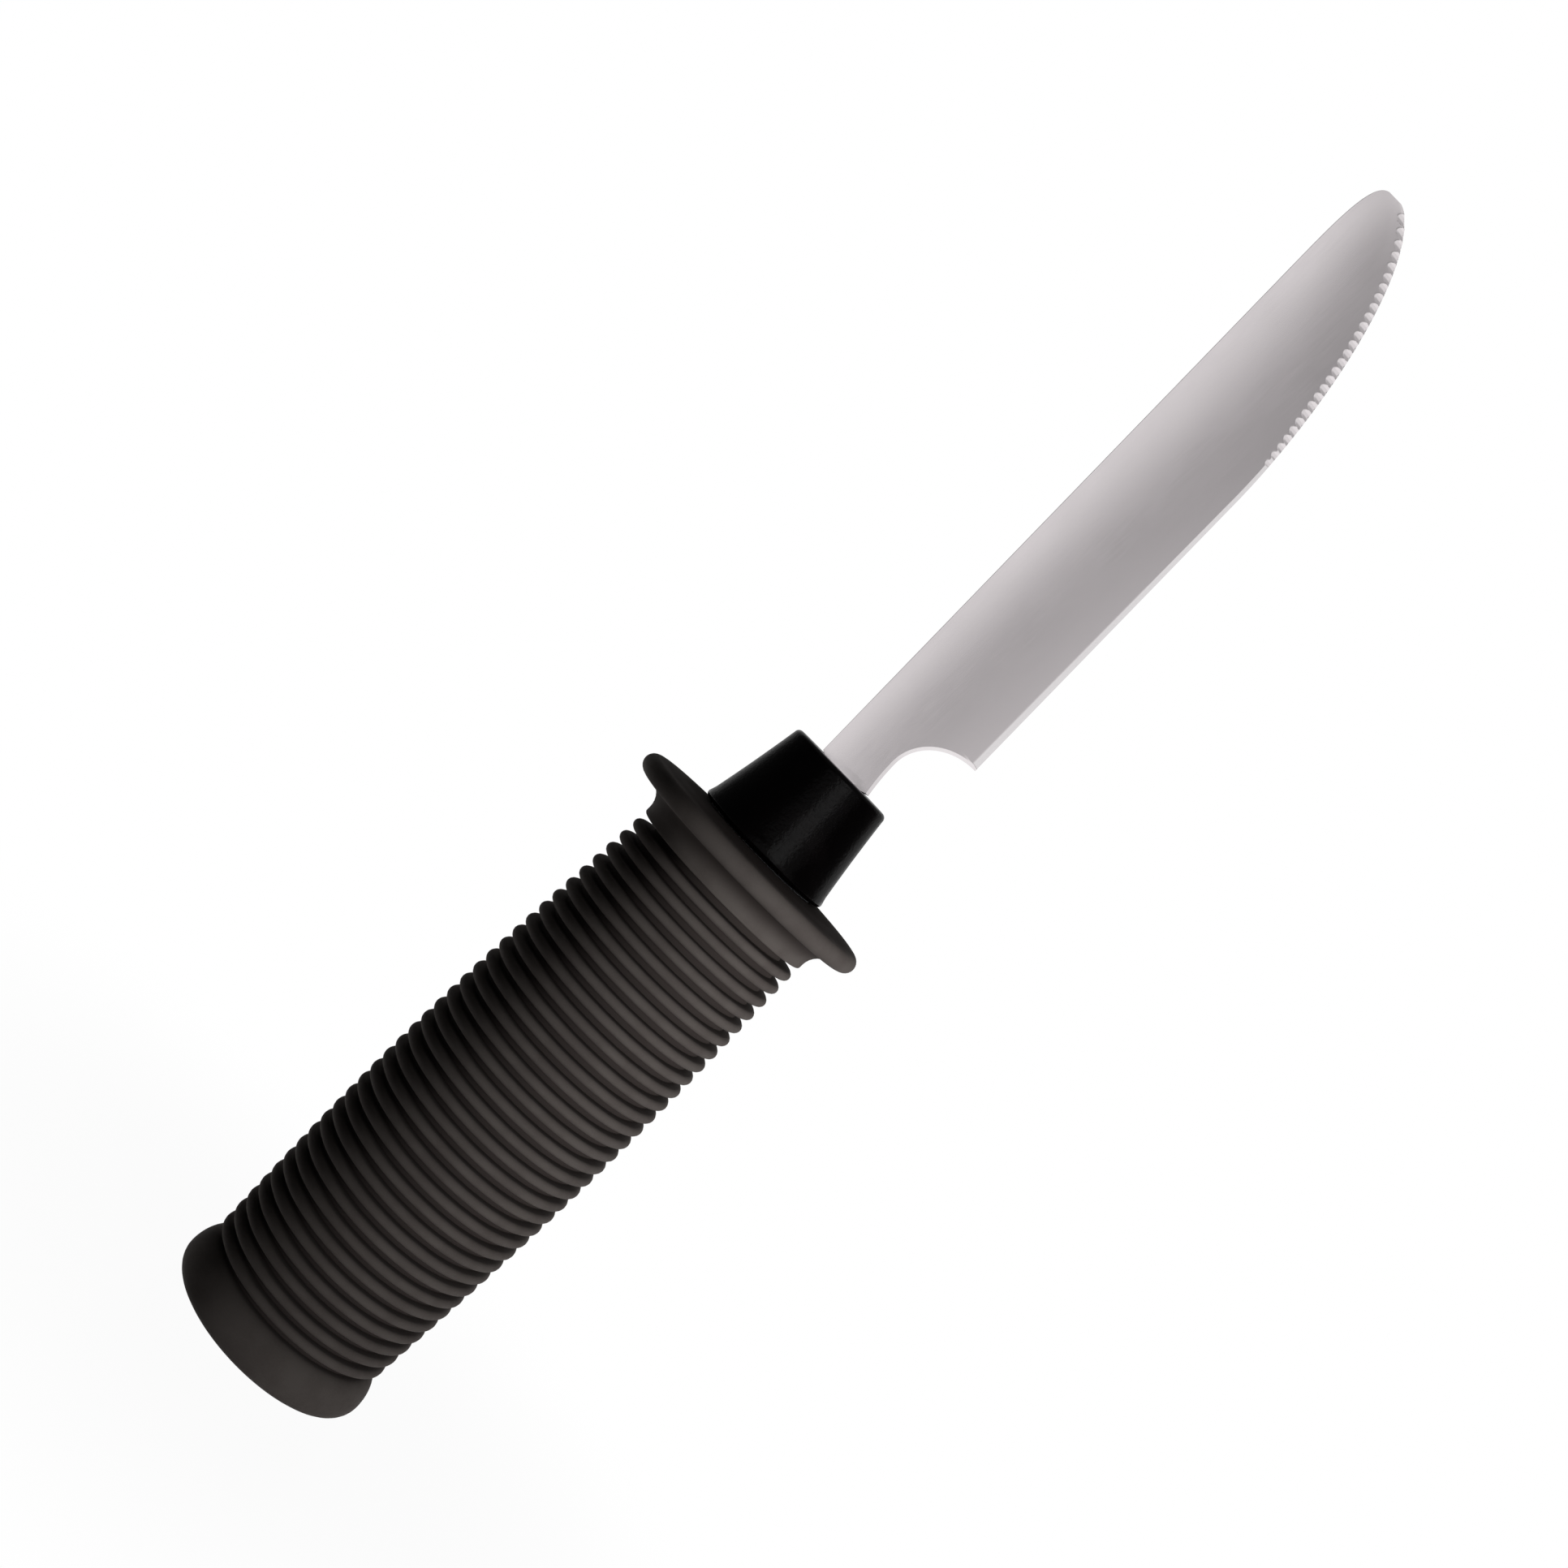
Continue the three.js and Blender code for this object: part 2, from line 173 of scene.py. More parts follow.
class Nodes:
    """Builds one node tree."""

    def __init__(self, tree: bpy.types.NodeTree) -> None:
        """Empties the tree and keeps it."""
        tree.nodes.clear()
        self.tree = tree

    def add(self, kind: str, settings: dict[str, Any], sockets: dict[Any, Socket]) -> bpy.types.Node:
        """Adds one node.

        Args:
            kind: the node's type.
            settings: its properties, set first.
            sockets: values or links of its inputs, by name or number.

        Returns:
            The node.
        """
        node = self.tree.nodes.new(kind)
        for name, value in settings.items():
            setattr(node, name, value)
        for name, value in sockets.items():
            source = value.socket if isinstance(value, Wire) else value
            if isinstance(source, bpy.types.NodeSocket):
                self.tree.links.new(source, node.inputs[name])
            else:
                node.inputs[name].default_value = source
        return node

    def wire(self, kind: str, settings: dict[str, Any], sockets: dict[Any, Socket], output: Any = 0) -> Wire:
        """Adds a node and takes one of its outputs.

        Args:
            kind: the node's type.
            settings: its properties.
            sockets: values or links of its inputs.
            output: the output's name or number.

        Returns:
            That output.
        """
        return Wire(self, self.add(kind, settings, sockets).outputs[output])

    def place(self) -> tuple[Wire, list[Wire]]:
        """Reads Object coordinates.

        Returns:
            The vector, and its three parts.
        """
        vector = self.wire("ShaderNodeTexCoord", {}, {}, "Object")
        split = self.add("ShaderNodeSeparateXYZ", {}, {0: vector})
        return vector, [Wire(self, output) for output in split.outputs]

    def noise(self, vector: Wire, size: float, detail: float = 2.0, stretch: Stretch = (1, 1, 1)) -> Wire:
        """Adds a noise pattern.

        Args:
            vector: where the pattern is read.
            size: how large its spots are, in millimetres.
            detail: how many finer layers it has.
            stretch: how much the spots shrink along each axis.

        Returns:
            The pattern, around one half.
        """
        scale = tuple(part / (size * MM) for part in stretch)
        settings = {"operation": "MULTIPLY"}
        scaled = self.wire("ShaderNodeVectorMath", settings, {0: vector, 1: scale})
        return self.wire("ShaderNodeTexNoise", {}, {"Vector": scaled, "Scale": 1.0, "Detail": detail})

    def mix(self, share: Socket, first: Socket, second: Socket) -> Wire:
        """Blends two colours.

        Args:
            share: how much of the second colour shows.
            first: the first colour.
            second: the second colour.

        Returns:
            The blend.
        """
        # A Mix node's colours are its inputs 6 and 7 and its output 2
        sockets = {0: share, 6: self._opaque(first), 7: self._opaque(second)}
        return self.wire("ShaderNodeMix", {"data_type": "RGBA"}, sockets, 2)

    def bump(self, height: Wire, strength: float, depth: float) -> Wire:
        """Turns a pattern into relief.

        Args:
            height: the pattern.
            strength: how much of the relief shows.
            depth: the relief's depth in millimetres.

        Returns:
            The bent normal.
        """
        sockets = {"Strength": strength, "Distance": depth * MM, "Height": height}
        return self.wire("ShaderNodeBump", {}, sockets)

    def surface(self, sockets: dict[str, Socket]) -> None:
        """Ends the tree in one Principled surface.

        Args:
            sockets: values or links of the shader's inputs.
        """
        ready = {name: self._opaque(value) for name, value in sockets.items()}
        shader = self.add("ShaderNodeBsdfPrincipled", {}, ready)
        self.add("ShaderNodeOutputMaterial", {}, {"Surface": shader.outputs[0]})

    @staticmethod
    def _opaque(value: Socket) -> Socket:
        """Gives a plain colour its fourth number."""
        return (*value, 1.0) if isinstance(value, tuple) and len(value) == 3 else value


def new_material(name: str) -> tuple[bpy.types.Material, Nodes]:
    """Starts a node material.

    Args:
        name: the material's name.

    Returns:
        The material and its emptied tree.
    """
    material = bpy.data.materials.new(name)
    material.use_nodes = True
    return material, Nodes(material.node_tree)


# Finishes


@dataclass(frozen=True)
class SatinSteel:
    """Satin stainless steel, brighter where it is ground: a rougher ground finish whose lighter colour is
    partly painted highlight.
    """

    colour: Colour = (0.78, 0.733, 0.747)
    smeared_colour: Colour = (0.55, 0.52, 0.53)
    # Ground bevel, choil corner and flutes: partly the ground finish, partly a painted highlight
    ground_glint_colour: Colour = (0.86, 0.83, 0.84)
    roughness: float = 0.16
    ground_roughness: float = 0.26
    grain: float = 0.35
    grain_stretch: Stretch = (1.0, 1.0, 0.08)
    grain_roughness: float = 0.05
    relief: float = 0.004
    relief_share: float = 0.12
    smear: float = 14.0
    smear_share: float = 0.16
    smear_roughness: float = 0.06

    def material(self) -> bpy.types.Material:
        """Builds the material.

        Returns:
            The material, which reads the blade's own ground attribute.
        """
        material, nodes = new_material("satin_steel")
        vector, _ = nodes.place()
        ground = nodes.wire("ShaderNodeAttribute", {"attribute_name": "ground"}, {}, "Fac")
        brushing = nodes.noise(vector, self.grain, detail=3.0, stretch=self.grain_stretch)
        smears = nodes.noise(vector, self.smear)
        smeared = smears.centred() * self.smear_share + self.smear_share / 2
        colour = nodes.mix(ground, nodes.mix(smeared, self.colour, self.smeared_colour), self.ground_glint_colour)
        uneven = brushing.centred() * self.grain_roughness + smears.centred() * self.smear_roughness
        roughness = ground * (self.ground_roughness - self.roughness) + self.roughness + uneven
        nodes.surface({
            "Base Color": colour,
            "Metallic": 1.0,
            "Roughness": roughness,
            "Normal": nodes.bump(brushing, self.relief_share, self.relief),
        })
        return material


@dataclass(frozen=True)
class GrainedPlastic:
    """Hard black plastic with a fine moulded grain."""

    colour: Colour = (0.0006, 0.0004, 0.00045)
    worn_colour: Colour = (0.0013, 0.0009, 0.001)
    roughness: float = 0.2
    gloss: float = 0.04
    grain: float = 0.55
    grain_roughness: float = 0.25
    relief: float = 0.08
    relief_share: float = 0.6
    patch: float = 6.0
    patch_roughness: float = 0.1
    worn_range: Range = (0.45, 0.75)

    def material(self) -> bpy.types.Material:
        """Builds the material.

        Returns:
            The material.
        """
        material, nodes = new_material("grained_plastic")
        vector, _ = nodes.place()
        grain = nodes.noise(vector, self.grain, detail=3.0)
        patches = nodes.noise(vector, self.patch, detail=3.0)
        uneven = grain.centred() * self.grain_roughness + patches.centred() * self.patch_roughness
        nodes.surface({
            "Base Color": nodes.mix(patches.between(*self.worn_range), self.colour, self.worn_colour),
            "Roughness": uneven + self.roughness,
            "Specular IOR Level": self.gloss,
            "Normal": nodes.bump(grain, self.relief_share, self.relief),
        })
        return material


@dataclass(frozen=True)
class GripRubber:
    """Matte warm grey rubber, mottled and finely grained, with painted shade down in the grooves and in the
    corner under the guard.
    """

    sleeve: "GripSleeve"
    colour: Colour = (0.088, 0.0775, 0.072)
    dull_colour: Colour = (0.07, 0.06, 0.056)
    # Painted shade: the grooves between the ribs and the corner under the guard are coloured darker
    groove_shade_colour: Colour = (0.034, 0.028, 0.026)
    roughness: float = 0.75
    gloss: float = 0.05
    speckle: float = 0.25
    speckle_share: float = 0.6
    speckle_roughness: float = 0.12
    relief: float = 0.02
    relief_share: float = 0.35
    mottle: float = 5.0
    mottle_share: float = 0.7
    mottle_roughness: float = 0.2
    mottle_range: Range = (0.35, 0.7)
    # Extra roughness where the painted shade lies
    painted_shade_roughness: float = 0.1
    # Where the painted shade lies, in shares of the ribs' depth, and of the fillet under the guard
    groove_range: Range = (0.2, 1.0)
    corner_height: Range = (-1.0, -0.1)
    corner_reach: Range = (0.6, 1.6)

    def sunk(self, radius: Wire, height: Wire) -> Wire:
        """Finds the grooves between the ribs.

        Args:
            radius: a point's distance from the grip's axis.
            height: its height.

        Returns:
            How deep it lies under the ribs' crests, from 0 near them to 1 on the grooves' floors.
        """
        ribs = self.sleeve
        share = ((height - ribs.skirt * MM) / ((ribs.rib_top - ribs.skirt) * MM)).clamped()
        crest = share.math("SINE", share * math.pi) * (ribs.swell * MM) + ribs.rib_radius * MM
        return (crest - radius).between(*(part * ribs.rib_depth * MM for part in self.groove_range))

    def cornered(self, radius: Wire, height: Wire) -> Wire:
        """Finds the inner corner under the guard.

        Args:
            radius: a point's distance from the grip's axis.
            height: its height.

        Returns:
            How near it lies to the corner, up to 1 in it.
        """
        neck = self.sleeve.neck_radius
        guard = self.sleeve.guard_bottom
        fillet = self.sleeve.neck_fillet
        under = height.between(*((guard + share * fillet) * MM for share in self.corner_height))
        return under * (1 - radius.between(*((neck + share * fillet) * MM for share in self.corner_reach)))

    def material(self) -> bpy.types.Material:
        """Builds the material.

        Returns:
            The material.
        """
        material, nodes = new_material("grip_rubber")
        vector, (across, through, height) = nodes.place()
        mottle = nodes.noise(vector, self.mottle, detail=4.0)
        speckle = nodes.noise(vector, self.speckle)
        dull = mottle.between(*self.mottle_range) * self.mottle_share
        dull = dull + speckle.centred() * self.speckle_share
        clean = nodes.mix(dull, self.colour, self.dull_colour)
        radius = (across ** 2 + through ** 2) ** 0.5
        # Painted shade, darkest on the grooves' floors and in the corner under the guard
        painted_shade = self.sunk(radius, height) + self.cornered(radius, height)
        uneven = mottle.centred() * self.mottle_roughness + speckle.centred() * self.speckle_roughness
        nodes.surface({
            "Base Color": nodes.mix(painted_shade, clean, self.groove_shade_colour),
            "Roughness": uneven + painted_shade * self.painted_shade_roughness + self.roughness,
            "Specular IOR Level": self.gloss,
            "Normal": nodes.bump(speckle, self.relief_share, self.relief),
        })
        return material


@dataclass(frozen=True)
class MouldedPlastic:
    """Plain dark moulded plastic with faint flow marks."""

    name: str
    colour: Colour
    roughness: float = 0.5
    gloss: float = 0.3
    flow: float = 4.0
    flow_stretch: Stretch = (1.0, 1.0, 0.3)
    flow_range: Range = (0.35, 0.7)
    flow_lightness: float = 1.5
    grain: float = 0.3
    grain_roughness: float = 0.2
    relief: float = 0.015
    relief_share: float = 0.3

    def material(self) -> bpy.types.Material:
        """Builds the material.

        Returns:
            The material.
        """
        material, nodes = new_material(self.name)
        vector, _ = nodes.place()
        flow = nodes.noise(vector, self.flow, detail=4.0, stretch=self.flow_stretch)
        grain = nodes.noise(vector, self.grain)
        lighter = tuple(self.flow_lightness * part for part in self.colour)
        nodes.surface({
            "Base Color": nodes.mix(flow.between(*self.flow_range), self.colour, lighter),
            "Roughness": grain.centred() * self.grain_roughness + self.roughness,
            "Specular IOR Level": self.gloss,
            "Normal": nodes.bump(grain, self.relief_share, self.relief),
        })
        return material


@dataclass(frozen=True)
class DrawnSteel:
    """Plain steel rod with drawing marks along it."""

    colour: Colour = (0.62, 0.61, 0.6)
    marked_colour: Colour = (0.48, 0.47, 0.46)
    roughness: float = 0.28
    mark: float = 0.2
    mark_stretch: Stretch = (1.0, 0.05, 1.0)
    mark_roughness: float = 0.2

    def material(self) -> bpy.types.Material:
        """Builds the material.

        Returns:
            The material.
        """
        material, nodes = new_material("drawn_steel")
        vector, _ = nodes.place()
        marks = nodes.noise(vector, self.mark, detail=3.0, stretch=self.mark_stretch)
        nodes.surface({
            "Base Color": nodes.mix(marks, self.colour, self.marked_colour),
            "Metallic": 1.0,
            "Roughness": marks * self.mark_roughness + self.roughness,
        })
        return material


# Shaping


@dataclass
class TurnedProfile:
    """An outline in (radius, height) that is turned about the grip's axis."""

    points: list[Point] = field(default_factory=list)

    def to(self, radius: float, height: float) -> "TurnedProfile":
        """Adds one point."""
        self.points.append((radius, height))
        return self

    def arc(self, centre: Point, radius: float, angles: Range, steps: int,
            rise: float = 0.0) -> "TurnedProfile":
        """Adds an arc.

        Args:
            centre: the arc's centre.
            radius: its reach outwards.
            angles: its first and last angle in degrees, from the outward direction.
            steps: how many straight pieces it has.
            rise: its reach upwards, where that isn't the radius.

        Returns:
            The profile.
        """
        for angle in np.radians(np.linspace(*angles, steps + 1)):
            self.to(centre[0] + radius * math.cos(angle), centre[1] + (rise or radius) * math.sin(angle))
        return self

    def turn(self, steps: int) -> bmesh.types.BMesh:
        """Turns the profile once round.

        Args:
            steps: how many flats make the round.

        Returns:
            The closed mesh.
        """
        mesh = bmesh.new()
        corners = [mesh.verts.new((radius * MM, 0, height * MM)) for radius, height in self.points]
        for first, second in zip(corners, corners[1:]):
            mesh.edges.new((first, second))
        outline = [*mesh.verts, *mesh.edges]
        bmesh.ops.spin(mesh, geom=outline, cent=(0, 0, 0), axis=(0, 0, 1), dvec=(0, 0, 0),
                       angle=math.tau, steps=steps, use_merge=True)
        bmesh.ops.remove_doubles(mesh, verts=mesh.verts, dist=WELD)
        bmesh.ops.recalc_face_normals(mesh, faces=mesh.faces)
        return mesh


def to_object(mesh: bmesh.types.BMesh, name: str, crease: float) -> bpy.types.Object:
    """Makes a finished object of a mesh.

    Args:
        mesh: the mesh, which is used up.
        name: the object's name.
        crease: the angle in degrees from which an edge stays crisp.

    Returns:
        The object, linked to the scene.
    """
    for surface in mesh.faces:
        surface.smooth = True
    for edge in mesh.edges:
        edge.smooth = edge.calc_face_angle(math.pi) < math.radians(crease)
    data = bpy.data.meshes.new(name)
    mesh.to_mesh(data)
    mesh.free()
    made = bpy.data.objects.new(name, data)
    bpy.context.scene.collection.objects.link(made)
    return made


def dress(made: bpy.types.Object, slot: Slot, material: bpy.types.Material, nodes: Iterable[str]) -> None:
    """Gives a new piece its finish and its place in the frame.

    Args:
        made: the piece.
        slot: the record's material slot.
        material: the finish.
        nodes: the CAD nodes that the piece stands for.
    """
    made.data.materials.append(material)
    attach(made, "root")
    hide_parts(*nodes)
    LOG.info("%s: %d faces, %s", made.name, len(made.data.polygons), slot.value)


def held(value: float) -> float:
    """A number held between 0 and 1."""
    return min(1.0, max(0.0, value))


def top_of(node: str) -> float:
    """Height of a CAD node's top in millimetres."""
    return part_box(node)[1].z / MM


def foot_of(node: str) -> float:
    """Height of a CAD node's lowest point in millimetres."""
    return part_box(node)[0].z / MM


# Pieces


@dataclass
class GripSleeve:
    """Ribbed rubber sleeve with a flared end, a neck band and a finger guard."""

    bore: float = 11.0
    butt_radius: float = 18.25
    butt_corner: float = 3.0
    skirt: float = 7.6
    skirt_drop: float = 1.5
    skirt_angles: Range = (8.0, 84.0)
    ribs: int = 33
    pitch: float = 2.755
    rib_width: float = 1.6
    rib_radius: float = 17.0
    rib_depth: float = 2.1
    rib_foot: float = 0.25
    swell: float = 1.4
    neck_radius: float = 16.9
    neck_band: float = 4.3
    neck_groove: float = 1.35
    neck_groove_depth: float = 3.0
    neck_edge: float = 0.3
    neck_fillet: float = 3.4
    guard_radius: float = 22.85
    guard_thickness: float = 3.25
    guard_angles: Range = (-90.0, 84.0)
    collar_radius: float = 12.7
    steps: int = 128

    @property
    def rib_top(self) -> float:
        """Height of the top of the highest rib."""
        return self.skirt + self.ribs * self.pitch

    @property
    def guard_bottom(self) -> float:
        """Height of the guard's underside."""
        return self.rib_top + self.neck_groove + self.neck_band

    def crest(self, height: float) -> float:
        """Crest radius of the ribs, which swell towards the middle of the grip."""
        share = (height - self.skirt) / (self.rib_top - self.skirt)
        return self.rib_radius + self.swell * math.sin(math.pi * share)

    def add_rib(self, profile: TurnedProfile, rib: int) -> None:
        """Adds a flat-bottomed groove and the round-topped rib over it.

        Args:
            profile: the outline so far.
            rib: the rib's number from the butt.
        """
        half = self.rib_width / 2
        groove_bottom = self.skirt + rib * self.pitch
        middle = groove_bottom + self.pitch - half
        crest = self.crest(middle)
        floor = crest - self.rib_depth
        foot = self.rib_foot
        profile.arc((floor + foot, groove_bottom + foot), foot, (270, 180), steps=2)
        profile.arc((floor + foot, middle - half - foot), foot, (180, 90), steps=2)
        profile.arc((crest - half, middle), half, (-90, 90), steps=8)

    def profile(self) -> TurnedProfile:
        """Draws the outline from the bore's foot, round the outside and back down the bore.

        Returns:
            The outline.
        """
        top = top_of("grip_sleeve")
        corner = self.butt_corner
        shoulder = self.rib_radius - self.skirt_drop
        neck_bottom = self.rib_top + self.neck_groove
        guard_bottom = self.guard_bottom
        rim = self.guard_thickness / 2
        groove_floor = self.neck_radius - self.neck_groove_depth
        fillet = self.neck_fillet
        edge = self.neck_edge
        foot = self.rib_foot
        outline = TurnedProfile().to(self.bore, 0)
        outline.arc((self.butt_radius - corner, corner), corner, (-90, 0), steps=8)
        outline.arc((shoulder, corner), self.butt_radius - shoulder, self.skirt_angles, steps=9,
                    rise=self.skirt - corner)
        for rib in range(self.ribs):
            self.add_rib(outline, rib)
        outline.arc((groove_floor + foot, self.rib_top + foot), foot, (270, 180), steps=2)
        outline.to(groove_floor, neck_bottom)
        outline.arc((self.neck_radius - edge, neck_bottom + edge), edge, (-90, 0), steps=4)
        outline.arc((self.neck_radius + fillet, guard_bottom - fillet), fillet, (180, 90), steps=8)
        outline.arc((self.guard_radius - rim, guard_bottom + rim), rim, self.guard_angles, steps=14)
        outline.to(self.collar_radius, top).to(self.bore, top).to(self.bore, 0)
        return outline

    def build(self) -> None:
        """Turns the sleeve and dresses it in rubber."""
        made = to_object(self.profile().turn(self.steps), "grip_sleeve_soft", CREASE)
        dress(made, Slot.GRIP, GripRubber(self).material(), ["grip_sleeve"])


@dataclass
class Collar:
    """Tapered black collar with a spigot in the grip and a slot for the tang."""

    length: float = 17.3
    top_radius: float = 9.55
    base_radius: float = 12.4
    hollow: float = 0.18
    wall_rows: int = 14
    top_round: float = 0.9
    top_angles: Range = (10.0, 90.0)
    base_round: float = 0.7
    spigot_radius: float = 7.9
    spigot_chamfer: float = 1.0
    slot_centre: float = 0.1
    slot_width: float = 9.1
    slot_thickness: float = 2.4
    slot_depth: float = 47.6
    slot_taper: float = 0.05
    steps: int = 96

    def radius(self, share: float) -> float:
        """Radius at a share of the height, a little hollow between foot and top."""
        spread = self.base_radius - self.top_radius
        return self.base_radius - spread * share * (1 + self.hollow * (1 - share))

    def profile(self) -> TurnedProfile:
        """Draws the outline from the spigot's foot to the middle of the top.

        Returns:
            The outline.
        """
        top = top_of("collar")
        base = top - self.length
        foot = foot_of("collar")
        outline = TurnedProfile().to(0, foot).to(self.spigot_radius - self.spigot_chamfer, foot)
        outline.to(self.spigot_radius, foot + self.spigot_chamfer).to(self.spigot_radius, base)
        corner = (self.base_radius - self.base_round, base + self.base_round)
        outline.arc(corner, self.base_round, (-90, 0), steps=6)
        shoulder = self.length - self.top_round
        for height in np.linspace(self.base_round, shoulder, self.wall_rows)[1:]:
            outline.to(self.radius(height / self.length), base + height)
        corner = (self.radius(shoulder / self.length) - self.top_round, base + shoulder)
        outline.arc(corner, self.top_round, self.top_angles, steps=7)
        return outline.to(0, top)

    def cut_slot(self, mesh: bmesh.types.BMesh) -> None:
        """Sinks the tang's slot into the flat top.

        Args:
            mesh: the turned collar.
        """
        top = top_of("collar") * MM
        reach = (self.slot_width / 2, self.slot_thickness / 2)
        centre = (self.slot_centre, 0.0)
        for axis in range(2):
            for side in (-1, 1):
                crown = [item for item in [*mesh.verts, *mesh.edges, *mesh.faces] if self._on_top(item, top)]
                at = Vector((0, 0, top))
                at[axis] = (centre[axis] + side * reach[axis]) * MM
                normal = Vector((0, 0, 0))
                normal[axis] = 1
                bmesh.ops.bisect_plane(mesh, geom=crown, dist=WELD, plane_co=at, plane_no=normal)
        inside = [surface for surface in mesh.faces if self._on_top(surface, top)
                  and self._in_slot(surface.calc_center_median())]
        bmesh.ops.inset_region(mesh, faces=inside, thickness=self.slot_taper * MM,
                               depth=-self.slot_depth * MM, use_even_offset=True)

    @staticmethod
    def _on_top(item: Any, top: float) -> bool:
        """Tells whether a corner, edge or face lies in the flat top."""
        corners = [item] if isinstance(item, bmesh.types.BMVert) else item.verts
        return all(abs(corner.co.z - top) < WELD for corner in corners)

    def _in_slot(self, point: Vector) -> bool:
        """Tells whether a point of the top lies in the slot."""
        across = abs(point.x / MM - self.slot_centre) < self.slot_width / 2
        return across and abs(point.y / MM) < self.slot_thickness / 2

    def build(self) -> bpy.types.Object:
        """Turns the collar, cuts its slot and dresses it in black plastic.

        Returns:
            The collar.
        """
        mesh = self.profile().turn(self.steps)
        self.cut_slot(mesh)
        made = to_object(mesh, "collar_black", CREASE)
        dress(made, Slot.COLLAR, GrainedPlastic().material(), ["collar"])
        return made


@dataclass
class EndPlug:
    """Plug that closes the core at the butt: a flat head and a cup up the core's bore."""

    head_radius: float = 10.7
    head: float = 2.6
    chamfer: float = 0.5
    spigot_radius: float = 7.9
    wall: float = 1.8
    colour: Colour = (0.012, 0.011, 0.0105)
    roughness: float = 0.55
    steps: int = 72

    def build(self) -> None:
        """Turns the plug and dresses it in black plastic."""
        foot = foot_of("end_plug")
        top = top_of("end_plug")
        shoulder = foot + self.head
        outline = TurnedProfile().to(0, foot)
        corner = (self.head_radius - self.chamfer, foot + self.chamfer)
        outline.arc(corner, self.chamfer, (-90, 0), steps=4)
        outline.to(self.head_radius, shoulder).to(self.spigot_radius, shoulder)
        outline.to(self.spigot_radius, top - self.chamfer).to(self.spigot_radius - self.chamfer, top)
        outline.to(self.spigot_radius - self.wall, top).to(self.spigot_radius - self.wall, shoulder)
        made = to_object(outline.to(0, shoulder).turn(self.steps), "end_plug_black", CREASE)
        plastic = MouldedPlastic("plug_plastic", self.colour, self.roughness)
        dress(made, Slot.PLUG, plastic.material(), ["end_plug"])


@dataclass(frozen=True)
class Station:
    """One line across the blade, from its back to its edge, in (along, across).

    Inward points from the edge into the blade. The band is the strip along the edge that the line crosses
    in that direction, and the bevel is its ground part, or zero. The face thins over the reach.
    """

    back: Vector
    edge: Vector
    inward: Vector
    band: float
    bevel: float
    reach: float


